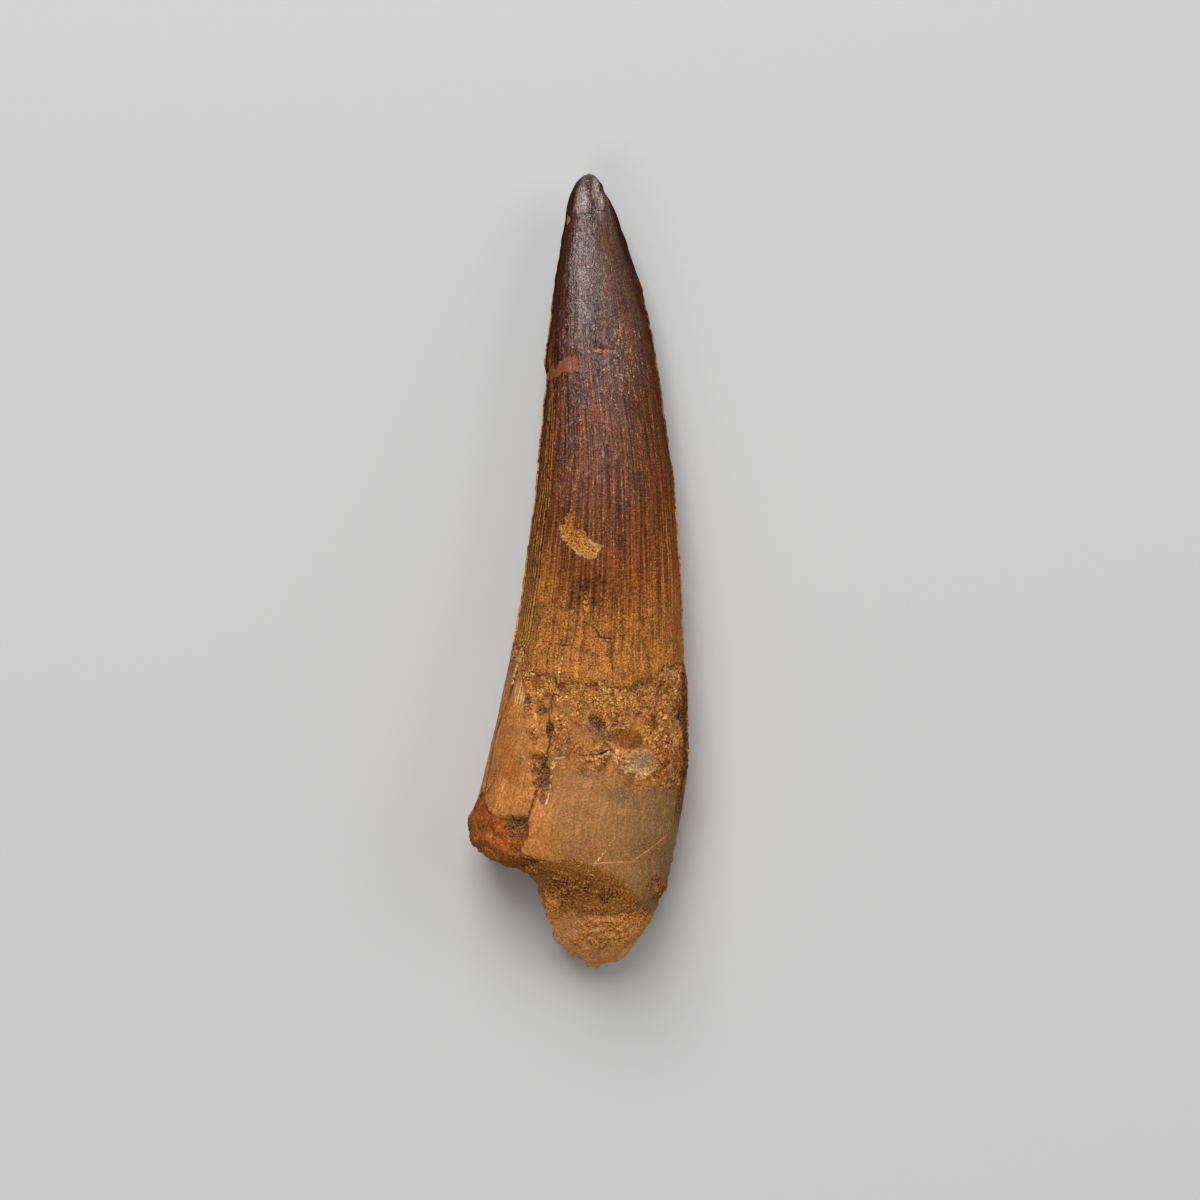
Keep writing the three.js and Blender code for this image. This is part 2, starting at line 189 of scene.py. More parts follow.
def curveThrough(points):  # a smooth curve through the points that never overshoots
    at, value = np.array(points, float).T
    slope = np.diff(value) / np.diff(at)
    before, after = np.r_[slope[0], slope], np.r_[slope, slope[-1]]
    together = before * after > 0
    tangent = np.where(together, 2 * before * after / np.where(together, before + after, 1), 0)

    def curve(place):
        place = np.clip(place, at[0], at[-1])
        piece = np.clip(np.searchsorted(at, place, side="right") - 1, 0, len(slope) - 1)
        span = at[piece + 1] - at[piece]
        t = (place - at[piece]) / span
        straight = value[piece] + (value[piece + 1] - value[piece]) * t * t * (3 - 2 * t)
        return straight + t * (1 - t) * span * (tangent[piece] * (1 - t) - tangent[piece + 1] * t)

    return curve


def lumps(places, size, octaves=1, stretch=1):  # noise of about -1 to 1; stretch draws it out along the tooth
    scaled = places / np.array([size, size * stretch, size])
    values = [noise.fractal(place, 1.0, 2.0, octaves) for place in scaled.reshape(-1, 3).tolist()]
    return np.array(values).reshape(places.shape[:-1]) * 1.5


def notching(ringPlace, size, side):  # noise of about -1 to 1 along one edge of the tooth
    return np.array([noise.noise((size, place / size, side)) for place in ringPlace.tolist()])[:, None] * 1.5


def creases(places, size, octaves):  # round lumps of about 0 to 1 with sharp valleys between them
    values = [noise.turbulence(place, octaves, True) for place in (places / size).reshape(-1, 3).tolist()]
    return np.array(values).reshape(places.shape[:-1]) * 1.6


def ovals(marks, x, s, ragged, core=0.6):  # each mark's depth inside its oval, summed, and the share of the deepest
    depth = np.zeros(x.shape)
    share = np.zeros(x.shape)
    for markX, markS, halfAcross, halfAlong, turn, markDepth in marks:
        turned = math.radians(turn)
        across = ((x - markX) * math.cos(turned) - (s - markS) * math.sin(turned)) / halfAcross
        along = ((x - markX) * math.sin(turned) + (s - markS) * math.cos(turned)) / halfAlong
        inside = 1 - smooth(np.hypot(across, along) + ragged, core, 1.15)
        depth += markDepth * inside
        share = np.maximum(share, inside)
    return depth, share


def fromStretch(start, end, x, s):  # the stretch's run, and how far each place stands from its nearest point
    runX, runS = end[0] - start[0], end[1] - start[1]
    t = np.clip(((x - start[0]) * runX + (s - start[1]) * runS) / (runX**2 + runS**2), 0, 1)
    return runX, runS, x - start[0] - t * runX, s - start[1] - t * runS


def insetFrom(outline, x, s):  # millimetres inside the outline, below 0 outside it
    gap = np.full(x.shape, 1e9)
    inside = np.zeros(x.shape, bool)
    for start, end in zip(outline, outline[1:] + outline[:1]):
        runX, runS, gapX, gapS = fromStretch(start, end, x, s)
        gap = np.minimum(gap, np.hypot(gapX, gapS))
        crosses = (start[1] > s) != (end[1] > s)
        inside ^= crosses & (x < (s - start[1]) * runX / (runS or 1e-9) + start[0])
    return np.where(inside, gap, -gap)


def gapFrom(lines, x, s):  # signed millimetres from the nearest of the lines
    nearest = np.full(x.shape, -farOff)
    for line in lines:
        for start, end in zip(line, line[1:]):
            runX, runS, gapX, gapS = fromStretch(start, end, x, s)
            gap = np.hypot(gapX, gapS) * np.where(runX * gapS - runS * gapX < 0, -1, 1)
            nearest = np.where(np.abs(gap) < np.abs(nearest), gap, nearest)
    return nearest


# ---- the tooth's mesh: a ball drawn out ring by ring, then pushed in and out along its normals

def addToScene(name, data):
    added = bpy.data.objects.new(name, data)
    bpy.context.scene.collection.objects.link(added)
    return added


def calmEdge(points, s):  # the outline's broad course, and how far its small notches stand from that
    edge = curveThrough(points)
    reach = 5 * smooth(s, 2, 14) * (1 - smooth(s, 97, 104))
    broad = np.mean([edge(s + reach * share) for share in np.linspace(-1, 1, 9)], axis=0)
    return broad, edge(s) - broad


def baseShape(ringPlace, angle):  # the smooth tooth: a superellipse at each distance from the tip
    s = np.repeat(ringPlace[:, None], len(angle), axis=1)
    across, upward = np.cos(angle)[None, :], np.sin(angle)[None, :]
    enamelEnd = {side: float(curveThrough(enamelEndAbovePoints)(np.array(side))) for side in (-1, 1)}
    grown = tooth["carinaHeight"] * smooth(s, *tooth["carinaeGrow"])
    carina = {side: grown * (1 - smooth(s - enamelEnd[side], -0.3, 0.9)) for side in (-1, 1)}
    left, fineLeft = calmEdge(leftEdgePoints, s)
    right, fineRight = calmEdge(rightEdgePoints, s)
    left, right = left + carina[-1], right - carina[1]
    half = (right - left) / 2
    boxy = curveThrough(boxinessPoints)(s)
    swell = (np.abs(across) ** boxy + np.abs(upward) ** boxy) ** (-1 / boxy)
    crest = curveThrough(crestShiftPoints)(s) * np.maximum(upward * swell, 0) ** 2
    x = (left + right) / 2 + half * across * swell - crest
    x += np.where(across < 0, fineLeft, fineRight) * np.abs(across) ** 10
    notches = {side: notching(ringPlace, 1.3, side) + 0.6 * notching(ringPlace, 0.6, side) for side in (-1, 1)}
    broken = smooth(s, np.where(across < 0, 99, 104), 109) * (1 - smooth(s, 125.3, 125.9))
    x += tooth["notchDepth"] * np.where(across < 0, notches[-1], notches[1]) * broken * np.abs(across) ** 4
    level = curveThrough(carinaLevelPoints)(s)
    sound = curveThrough(upperFacePoints)(s) - level
    pastBreak = s - curveThrough(soundEndPoints)(x)
    fallen = np.maximum(sound - curveThrough(breakFallPoints)(pastBreak), 0.3 * sound)
    rise = np.where(upward > 0, fallen, level - curveThrough(lowerFacePoints)(s))
    z = level + rise * upward * swell
    ridge = np.where(across < 0, carina[-1], carina[1])
    return np.stack([x, -s, z], axis=-1), s, half, ridge, pastBreak


def outward(places):
    along = np.gradient(places, axis=0)
    around = np.roll(places, -1, axis=1) - np.roll(places, 1, axis=1)
    normal = np.cross(around, along)
    return normal / np.maximum(np.linalg.norm(normal, axis=-1, keepdims=True), 1e-9)


def addNoises(at, places, grain):  # of about -1 to 1, except for the creases
    at.broad = lumps(places, 13, 2)
    at.medium = lumps(places, 3.6, 3)
    at.fine = lumps(places + 40, 1.3, 3)
    at.grit = lumps(places + 80, 0.75, 2)
    at.ragged = lumps(places + 120, 1.7, 4)
    at.lumpy = creases(places + 160, 1.3, 4)
    at.wobble = lumps(grain, 7, 1, 30)
    at.strength = lumps(grain + 30, 2, 2, 9)
    at.knobbly = creases(places + 200, 2.6, 2)


def enamelHeight(at, angle, ridge):  # flutes, faint waves and the carinae
    above, below = (curveThrough(points)(at.across) for points in (enamelEndAbovePoints, enamelEndBelowPoints))
    at.pastEnamel = at.s - np.where(at.above, above, below) + 0.55 * at.ragged
    at.enamel = 1 - smooth(at.pastEnamel, -0.15, 0.35)
    at.root = 1 - at.enamel
    leftStrip = smooth(-at.across, *tooth["leftStrip"])
    worn = smooth(at.s, *tooth["flutesWear"]) * (1 - 0.5 * leftStrip)
    at.fluteShare = smooth(at.s, *tooth["flutesGrow"]) * (1 - 0.75 * worn)
    at.fluteShare *= 0.55 + 0.7 * at.strength + 0.6 * leftStrip
    flute = (0.5 + 0.5 * np.cos(tooth["fluteCount"] * angle + 2.2 * at.wobble)) ** 0.7
    height = -tooth["fluteDepth"] * at.enamel * at.fluteShare * (1 - flute)
    height += at.enamel * (0.1 * at.broad + 0.05 * at.medium + 0.025 * at.fine)
    return height + ridge * (1 - smooth(np.abs(at.upward), 0, 0.085)) * (0.92 + 0.16 * at.fine)


def lostEnamel(at):  # the ledge where the enamel ends, and the flakes that have sprung off it
    at.flakeInset = insetFrom(lowerFlakeOutline, at.x, at.s)
    at.flakeInset = np.where(at.above, insetFrom(flakeOutline, at.x, at.s), at.flakeInset)
    at.spallInset = np.where(at.above, insetFrom(spallOutline, at.x, at.s), farOff)
    flake = smooth(at.flakeInset + 0.25 * at.ragged, -0.05, 0.25)
    spall = smooth(at.spallInset + 0.2 * at.ragged, -0.1, 0.5)
    depth = tooth["enamelStep"] * at.root * (1 - smooth(at.pastEnamel, *tooth["ledgeFades"]))
    depth += flake * (tooth["flakeDepth"] - 0.12 * at.grit)
    return -depth - spall * (tooth["spallDepth"] - 0.06 * at.fine)


def crustedRoot(at):  # the lumpy crust, the smooth plates in it and the rough band along the right edge
    x, s = at.x, at.s
    leftPlate = at.top * smooth(-x - 2.4 * (1 - smooth(s, 85, 93)) + 0.8 * at.ragged, 5.2, 6.6) * at.root
    lowPlate = at.top * smooth(s - 0.25 * (x - 4), 94, 98) * at.root
    rightBand = at.top * smooth(x, 15, 16.4) * at.root * (1 - smooth(s, 96, 99))
    atLedge = 1 - smooth(at.pastEnamel, 1.5, 4.5)
    at.crust = at.root * (1 - 0.85 * leftPlate * (1 - atLedge)) * (1 - 0.9 * lowPlate)
    at.patchy = np.clip(0.55 + 0.5 * at.medium + 0.5 * atLedge + 0.4 * smooth(x, 10, 13), 0.25, 1.2)
    lumpyCrust = tooth["crustHeight"] * at.patchy * (at.lumpy - 0.6)
    detail = at.crust * (0.26 * at.medium + 0.12 * at.fine + lumpyCrust + 0.06 * at.grit)
    detail += at.root * (0.12 * at.broad + 0.03 * at.fine + 0.05 * at.medium)
    return detail + rightBand * (0.25 * at.fine + 0.2 * at.grit)


def pitsAndNodules(at):
    detail, at.pit, at.nodule = 0, 0, 0
    for face, pits, nodules in ((at.top, upperPits, upperNodules), (at.below, lowerPits, lowerNodules)):
        pitDepth, pit = ovals(pits, at.x, at.s, 0.45 * at.ragged)
        noduleDepth, nodule = ovals(nodules, at.x, at.s, 0.15 * at.ragged)
        detail -= face * (pitDepth + noduleDepth)
        at.pit += face * pit
        at.nodule += face * nodule
    return detail + at.pit * 0.3 * at.grit - at.nodule * at.crust * (0.15 * at.medium + 0.35 * (at.lumpy - 0.6))


def cracks(at):  # the long crack down the root, and the thin dark and gold lines
    crackAt = np.where(at.above, curveThrough(longCrack)(at.s), curveThrough(lowerCrack)(at.s))
    crackGap = at.x - crackAt + 0.3 * at.ragged
    cracked = smooth(at.s, 76, 79) * (1 - smooth(at.s, 101, 103))
    width = tooth["crackHalfWidth"]
    depth = tooth["crackDepth"] * cracked * np.clip(0.5 + at.medium, 0.1, 1) * np.exp(-((crackGap / width) ** 2))
    at.crackGap = np.where(cracked > 0.02, crackGap, -farOff)
    at.gaps = {kind: np.where(at.above, gapFrom(lines, at.x, at.s), -farOff) for kind, lines in thinLines.items()}
    depth += 0.22 * np.exp(-((at.gaps["dark"] / 0.28) ** 2))
    return -depth - 0.08 * np.exp(-((at.gaps["gold"] / 0.25) ** 2))


def brokenEnd(at):  # the lobe, the scoop and the tongue
    at.lobeInset = np.where(at.above, insetFrom(lobeOutline, at.x, at.s), farOff)
    at.lobeInset -= 4 * (1 - smooth(at.upward + 0.12 * at.ragged, 0, 0.25))
    lobe = smooth(at.lobeInset + 0.3 * at.ragged, -0.1, 0.7)
    knobs = tooth["lobeKnobs"] * (at.knobbly - 0.6)
    detail = lobe * (0.25 * at.medium + 0.08 * at.fine + knobs - tooth["lobeDepth"])
    broken = smooth(at.pastBreak + 0.2 * at.ragged, 0, 2)
    scoopDepth = ovals([scoopDish], at.x, at.s, 0.06 * at.ragged, 0.1)[0]
    detail += at.top * broken * (0.1 * at.medium + 0.06 * at.fine) - at.top * scoopDepth
    at.gritty = at.top * ovals(gritPatches, at.x, at.s, 0.5 * at.ragged)[1]
    detail += at.gritty * (0.34 * (at.lumpy - 0.6) + 0.16 * at.grit)
    return detail + at.below * smooth(at.s, 106, 112) * (0.4 * at.medium + 0.5 * (at.lumpy - 0.6))


def finishMarks(at):  # what the finish reads of each place, as the mesh's own values
    asTheyAre = ("pastEnamel", "wobble", "fluteShare", "flakeInset", "spallInset", "lobeInset", "pit", "gritty")
    marks = {name: getattr(at, name) for name in (*asTheyAre, "crackGap", "lumpy")}
    marks.update({kind + "Gap": gap for kind, gap in at.gaps.items()})
    brownEnd = curveThrough(brownEndPoints)(at.across)
    marks["crownPlace"] = at.s + (70 - brownEnd) * smooth(at.s, 30, 60) * at.top
    marks.update(sideways=at.across, upperSide=at.top, pastBreak=np.where(at.above, at.pastBreak, farOff))
    marks["patchy"] = at.patchy * at.crust * (1 - 0.85 * at.nodule)
    marks["carinaGap"] = np.abs(np.arctan2(at.upward, np.abs(at.across))) * tooth["meanRadius"]
    return marks


def toothSurface(ringPlace, angle):  # the finished places, the grain's direction, and the marks for the finish
    places, s, half, ridge, pastBreak = baseShape(ringPlace, angle)
    at = SimpleNamespace(x=places[..., 0], s=s, pastBreak=pastBreak)
    at.upward = np.repeat(np.sin(angle)[None, :], len(ringPlace), axis=0)
    at.across = np.repeat(np.cos(angle)[None, :], len(ringPlace), axis=0)
    at.above = at.upward > 0
    at.top = smooth(at.upward, 0, 0.1)
    at.below = 1 - at.top
    grain = np.stack([tooth["meanRadius"] * at.across, s, tooth["meanRadius"] * at.upward], axis=-1)
    addNoises(at, places, grain)

    height = enamelHeight(at, angle, ridge)
    detail = lostEnamel(at) + crustedRoot(at) + pitsAndNodules(at) + cracks(at) + brokenEnd(at)
    height += detail * np.sqrt(np.abs(at.upward))  # little of it at the sides, where it would fray the outline
    height *= smooth(half, 0, 2.5)
    places = places + outward(places) * height[..., None]
    places[..., 2] = np.maximum(places[..., 2], 0)  # the worn flat that it rests on
    return places, grain, finishMarks(at)


def modelTooth():
    columns, rings = tooth["columns"], tooth["rings"]
    bm = bmesh.new()
    bmesh.ops.create_uvsphere(bm, u_segments=columns, v_segments=rings, radius=1)
    mesh = bpy.data.meshes.new("toothSurface")
    bm.to_mesh(mesh)
    bm.free()

    ball = np.empty(len(mesh.vertices) * 3)
    mesh.vertices.foreach_get("co", ball)
    ball = ball.reshape(-1, 3)
    ring = np.rint(np.arccos(np.clip(ball[:, 2], -1, 1)) / math.pi * rings).astype(int)
    turn = np.arctan2(-ball[:, 1], ball[:, 0]) % (2 * math.pi)
    column = np.rint(turn / (2 * math.pi) * columns).astype(int) % columns

    ringPlace = curveThrough(ringPlacePoints)(np.arange(rings + 1) / rings)
    turns = 2 * math.pi * np.arange(columns) / columns
    angle = turns + tooth["topCrowding"] * np.cos(turns)
    places, grain, marks = toothSurface(ringPlace, angle)

    low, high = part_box("tooth")
    tip = np.array([(low.x + high.x) / 2, high.y, low.z])
    mesh.vertices.foreach_set("co", (places[ring, column] * mm + tip).ravel())
    for name, values in marks.items():
        mesh.attributes.new(name, "FLOAT", "POINT").data.foreach_set("value", values[ring, column].ravel())
    mesh.attributes.new("grain", "FLOAT_VECTOR", "POINT").data.foreach_set("vector", grain[ring, column].ravel())
    mesh.polygons.foreach_set("use_smooth", [True] * len(mesh.polygons))
    mesh.update()
    print("tooth modelled:", len(mesh.vertices), "vertices")
    return addToScene("toothFossil", mesh)


# ---- the fossil's finish

finish = {  # colours as red, green and blue of 255
    "enamelAlong": [  # millimetres from the tip, and the colour there
        (0, (56, 27, 16)), (14, (62, 28, 16)), (30, (82, 40, 24)), (46, (104, 56, 32)), (57, (120, 66, 33)),
        (65, (138, 80, 38)), (70, (158, 96, 44)), (82, (176, 112, 54)),
    ],
    # Of these colours, the dark red of the left flank is partly painted shade, the greyish pink is a painted sheen,
    # and the pale pink-grey is a painted highlight over worn polish.
    "groove": (38, 22, 15), "flankRedShade": (56, 20, 9), "rust": (140, 66, 30), "mauveSheen": (98, 72, 62),
    "polishAndHighlight": (164, 138, 136), "oliveBrown": (96, 72, 40), "stripGold": (186, 126, 58), "tan": (178, 122, 66),
    "gold": (208, 142, 56), "cream": (246, 206, 146), "straw": (248, 180, 94), "goldLine": (240, 176, 92),
    "spall": (140, 80, 54), "fleck": (172, 140, 98), "slate": (56, 48, 46), "smudge": (62, 42, 26),
    "rootBase": (198, 130, 70), "rootDeep": (158, 97, 48),
    "crustZones": [  # shares of a cloudy noise, and the colour there
        (0.34, (156, 94, 46)), (0.42, (192, 120, 58)), (0.48, (214, 138, 66)), (0.54, (176, 114, 68)),
        (0.6, (222, 150, 80)), (0.68, (184, 112, 52)),
    ],
    "rootDark": (100, 56, 24), "crevice": (58, 36, 22), "orange": (160, 88, 30), "pink": (196, 140, 104),
    "greyTan": (146, 112, 80), "olive": (122, 96, 66), "plateTan": (168, 118, 70), "plateLow": (156, 106, 60),
    "lobe": (156, 74, 30), "scoop": (150, 94, 42), "tongue": (220, 152, 88), "grit": (255, 168, 80),
    "pitDark": (62, 38, 24), "pitOlive": (148, 104, 66), "noduleBrown": (136, 78, 32),
    "noduleGrey": (150, 120, 88), "bandDark": (66, 42, 24),
}
noiseMiddle = (0.32, 0.68)  # nearly all of a noise's values lie between these
surface = {
    "Specular IOR Level": 0.04,
    "Specular Tint": (1, 0.9, 0.84, 1),
    "Coat Roughness": 0.22,  # of the polish on the crown
    "Coat IOR": 1.6,
}

fossil = bpy.data.materials.new("fossilTooth")
fossil.use_nodes = True
tree = fossil.node_tree


def light(colour):  # red, green and blue of 255 as linear light
    return tuple(((c / 255 + 0.055) / 1.055) ** 2.4 for c in colour) + (1,)


def node(kind, inputs, **settings):  # a node with its settings made and its inputs linked or filled
    made = tree.nodes.new("ShaderNode" + kind)
    for name, value in settings.items():
        setattr(made, name, value)
    for name, value in inputs.items():
        if isinstance(value, bpy.types.NodeSocket):
            tree.links.new(value, made.inputs[name])
        else:
            made.inputs[name].default_value = value
    return made


def maths(operation, *values):
    return node("Math", dict(enumerate(values)), operation=operation).outputs[0]


def vectorMaths(operation, *values):
    return node("VectorMath", dict(enumerate(values)), operation=operation).outputs[0]


def plus(result, *values):
    for value in values:
        result = maths("ADD", result, value)
    return result


def minus(first, second):
    return maths("SUBTRACT", first, second)


def times(*values):  # the product of values, steps given as (value, low, high), and spots given by their numbers
    values = [asShare(value) for value in values]
    result = values[0]
    for value in values[1:]:
        result = maths("MULTIPLY", result, value)
    return result


def asShare(value):
    if not isinstance(value, tuple):
        return value
    return step(*value) if isinstance(value[0], bpy.types.NodeSocket) else spot(*value)


def swing(noise, reach):  # the noise about its own middle, times reach
    return times(minus(noise, 0.5), reach)


def step(value, low, high):  # 0 up to low and 1 from high on, or the other way round where low is the larger
    inputs = {"Value": value, "From Min": low, "From Max": high}  # it never leaves 0 to 1, so it needs no clamp
    return node("MapRange", inputs, interpolation_type="SMOOTHSTEP", clamp=False).outputs[0]


def between(value, start, end, soft):  # 1 between start and end
    return times((value, start - soft, start), (value, end + soft, end))


def spread(value, low, high):  # the middle of a noise's values drawn out from low to high
    names = ("Value", "From Min", "From Max", "To Min", "To Max")
    return node("MapRange", dict(zip(names, (value, *noiseMiddle, low, high)))).outputs[0]


def blend(share, under, over):
    over = light(finish[over]) if isinstance(over, str) else over
    return node("Mix", {0: share, 6: under, 7: over}, data_type="RGBA").outputs[2]


def tint(colour, over, *shares):
    return blend(times(*shares), colour, over)


def mixValue(share, under, over):
    return node("Mix", {0: share, 2: under, 3: over}).outputs[0]


def shaded(colour, value):
    colour = light(finish[colour])[:3] if isinstance(colour, str) else colour
    return node("VectorMath", {0: colour, "Scale": value}, operation="SCALE").outputs[0]


def dimmed(colour, least, *shares):
    return shaded(colour, mixValue(times(*shares), 1, least))


def varied(colour, *noises):  # shaded by each noise, from low to high
    return shaded(colour, times(*[spread(*noise) for noise in noises]))


def clouds(vector, size, detail=3, roughness=0.55, distortion=0):
    inputs = {"Vector": vector, "Scale": 1 / size, "Detail": detail, "Roughness": roughness, "Distortion": distortion}
    return node("TexNoise", inputs).outputs[0]


def known(name):
    return node("Attribute", {}, attribute_name=name).outputs["Fac"]


def ramp(value, stops, length):
    made = node("ValToRGB", {0: maths("DIVIDE", value, length)})
    while len(made.color_ramp.elements) < len(stops):
        made.color_ramp.elements.new(1)
    for element, (place, colour) in zip(made.color_ramp.elements, stops):
        element.position = place / length
        element.color = light(finish[colour] if isinstance(colour, str) else colour)
    return made.outputs[0]


objectPlace = node("TexCoord", {}).outputs["Object"]
place = node("VectorMath", {0: objectPlace, "Scale": 1 / mm}, operation="SCALE").outputs[0]
placeX, placeY = node("SeparateXYZ", {0: place}).outputs[:2]
fromTip = minus(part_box("tooth")[1].y / mm, placeY)
grain = node("Attribute", {}, attribute_name="grain").outputs["Vector"]
sideways, upperSide, fluteShare = (known(name) for name in ("sideways", "upperSide", "fluteShare"))
grainParts = node("SeparateXYZ", {0: grain}).outputs
fluteTurn = times(maths("ARCTAN2", grainParts["Z"], grainParts["X"]), float(tooth["fluteCount"]))
flute = maths("COSINE", plus(fluteTurn, times(known("wobble"), 2.2)))
flute = maths("POWER", plus(times(flute, 0.5), 0.5), 0.7)  # 1 on a flute's crest, 0 in its groove


def streaked(size, stretch, shift):  # a place in steps of size across the tooth, and stretch times that along it
    return vectorMaths("MULTIPLY_ADD", grain, (1 / size, 1 / size / stretch, 1 / size), (shift, shift, shift))


def streaks(size, stretch, detail, shift=0):  # noise drawn out along the tooth
    return clouds(streaked(size, stretch, shift), 1, detail)


speckle = clouds(place, 0.55, 3, 0.6)
pepper = clouds(place, 0.28, 2, 0.5)
sandy = clouds(place, 0.42, 4, 0.75)
grainy = clouds(place, 0.25, 2, 0.6)
patches = clouds(place, 2.4, 4, 0.6)
mottle = clouds(place, 6, 5, 0.6)
zones = clouds(place, 3.4, 5, 0.6, 0.8)
wrinkled = node("Mapping", {"Vector": place, "Rotation": (0, 0, 0.6), "Scale": (1, 0.45, 1)}).outputs[0]
leather = clouds(wrinkled, 0.55, 2, 0.5, 1.2)
shifted = node("TexNoise", {"Vector": place, "Scale": 1.6, "Detail": 3}).outputs["Color"]
shifted = vectorMaths("MULTIPLY_ADD", shifted, (0.9, 0.9, 0.9), place)


def chips(size):  # angular chips, each with a shade of its own from 0 to 1, and the gap between them
    inputs = {"Vector": shifted, "Scale": 1 / size}
    shade = node("TexVoronoi", inputs).outputs["Color"]
    gap = node("TexVoronoi", inputs, feature="DISTANCE_TO_EDGE").outputs["Distance"]
    return node("SeparateColor", {0: shade}).outputs[0], gap


coarseChip, coarseGap = chips(0.9)
fineChip, fineGap = chips(0.42)
hairStreak = streaks(0.26, 45, 2, 50)
fineStreak = streaks(0.55, 30, 3)
wideStreak = streaks(1.5, 12, 3, 20)
shortStreak = streaks(0.4, 3, 2, 70)
dash = streaks(0.3, 5, 2, 130)
crossStreak = streaks(0.9, 0.3, 3, 90)
crazeInputs = {"Vector": streaked(1.1, 0.7, 110), "Scale": 1}
craze = node("TexVoronoi", crazeInputs, feature="DISTANCE_TO_EDGE").outputs["Distance"]


def spot(x, s, halfAcross, halfAlong, soft=0.4, ragged=1.2):  # a patch with a ragged edge on the upper face
    here = node("CombineXYZ", {0: placeX, 1: fromTip}).outputs[0]
    gone = vectorMaths("SUBTRACT", here, (x, s, 0))
    sized = vectorMaths("MULTIPLY", gone, (1 / halfAcross, 1 / halfAlong, 0))
    reach = node("VectorMath", {0: sized}, operation="LENGTH").outputs["Value"]
    return times((plus(reach, swing(patches, ragged * 2)), 1, 1 - soft), upperSide)


def line(name, halfWidth, wobble=0.5):  # a thin line where the signed gap crosses 0
    gap = maths("ABSOLUTE", plus(known(name), swing(speckle, wobble)))
    return step(minus(gap, swing(patches, halfWidth)), halfWidth, halfWidth * 0.45)


def inset(name, low, high, ragged=0.6):
    return step(plus(known(name), swing(speckle, ragged)), low, high)


def tintedWith(colour, tints):
    for name, *shares in tints:
        colour = tint(colour, name, *shares)
    return colour


# each entry, a stain or a painted highlight: its colour, the numbers of its spot, the noises that break it up, and
# its share
tipStainsAndHighlights = [
    ("fleck", (6.8, 30.5, 3.4, 6.5), (shortStreak, 0.5, 0.6), (grainy, 0.5, 0.56), 0.6),
    ("fleck", (6.5, 26, 0.9, 2.6), (shortStreak, 0.44, 0.54), (grainy, 0.42, 0.5), 0.7),
    ("tan", (3.8, 29.1, 2.4, 0.42, 0.4, 0.9), (speckle, 0.44, 0.56), 0.75),
    ("slate", (2.6, 21.4, 1.6, 1.6), 0.6),
    ("groove", (3.8, 28.5, 1.2, 0.35), 0.7),
    ("rust", (5.8, 49.4, 0.4, 2.6, 0.5, 0.4), 0.6),
    # painted highlights: the pale streaks at the tip and down the crest, over the worn polish
    ("polishAndHighlight", (0.7, 4.8, 1.3, 5, 0.7, 0.6), (hairStreak, 0.34, 0.52), 0.85),
    ("polishAndHighlight", (2.8, 2.8, 0.7, 2.6, 0.7, 0.6), (hairStreak, 0.34, 0.52), 0.85),
    ("polishAndHighlight", (3.6, 5.6, 0.7, 2.8, 0.7, 0.6), (hairStreak, 0.34, 0.52), 0.8),
    ("polishAndHighlight", (0.6, 17, 2.6, 13, 0.8, 0.9), (hairStreak, 0.38, 0.56), 0.34),
    ("rust", (4.9, 14.5, 1.6, 6.5, 0.8, 1.6), (fineStreak, 0.4, 0.56), 0.24),
    ("rust", (2.1, 4.2, 0.4, 2.6, 0.7, 0.5), 0.3),
]
goldStains = [
    ("gold", (1.3, 68.8, 0.5, 2), (speckle, 0.44, 0.54), 0.7),
    ("gold", (3, 6.5, 0.3, 0.4, 0.6), 0.9),
]
highRootStains = [
    ("straw", (1, 83.4, 5.2, 1.9, 0.7), (sandy, 0.4, 0.56), 0.4),
    ("straw", (-6.4, 83.2, 1.3, 1.5, 0.6), (sandy, 0.42, 0.54), 0.6),
    ("orange", (-10.6, 92, 1.7, 9, 0.6), 0.4),
    ("greyTan", (-8.8, 90, 1.6, 7, 0.8), 0.3),
]
rootStains = [
    ("pink", (-2.4, 90.5, 1.6, 3, 0.7), 0.35),
    ("pink", (1.8, 95.5, 4.5, 2, 0.7), 0.3),
    ("greyTan", (-1.2, 85, 1.5, 1.9, 0.7), 0.4),
    ("greyTan", (2, 88.4, 4.5, 2.8, 0.7), 0.4),
    ("olive", (6.5, 98, 3, 2.2, 0.7), 0.4),
    ("cream", (-9.2, 83, 0.9, 2.4), (hairStreak, 0.4, 0.6), 0.5),
]
gritStains = [
    ("grit", (-4.3, 117.6, 1.9, 4.6, 0.6), (pepper, 0.4, 0.52), 0.85),
    ("grit", (8.5, 119.5, 3.2, 2.4, 0.6), (pepper, 0.46, 0.56), 0.75),
]
creamStains = [
    ("cream", (9.2, 93.5, 3.4, 2.5, 0.5, 1.2), (sandy, 0.46, 0.54), 0.8),
    ("cream", (5.2, 91.6, 1.5, 0.7), (speckle, 0.42, 0.52), 0.8),
]


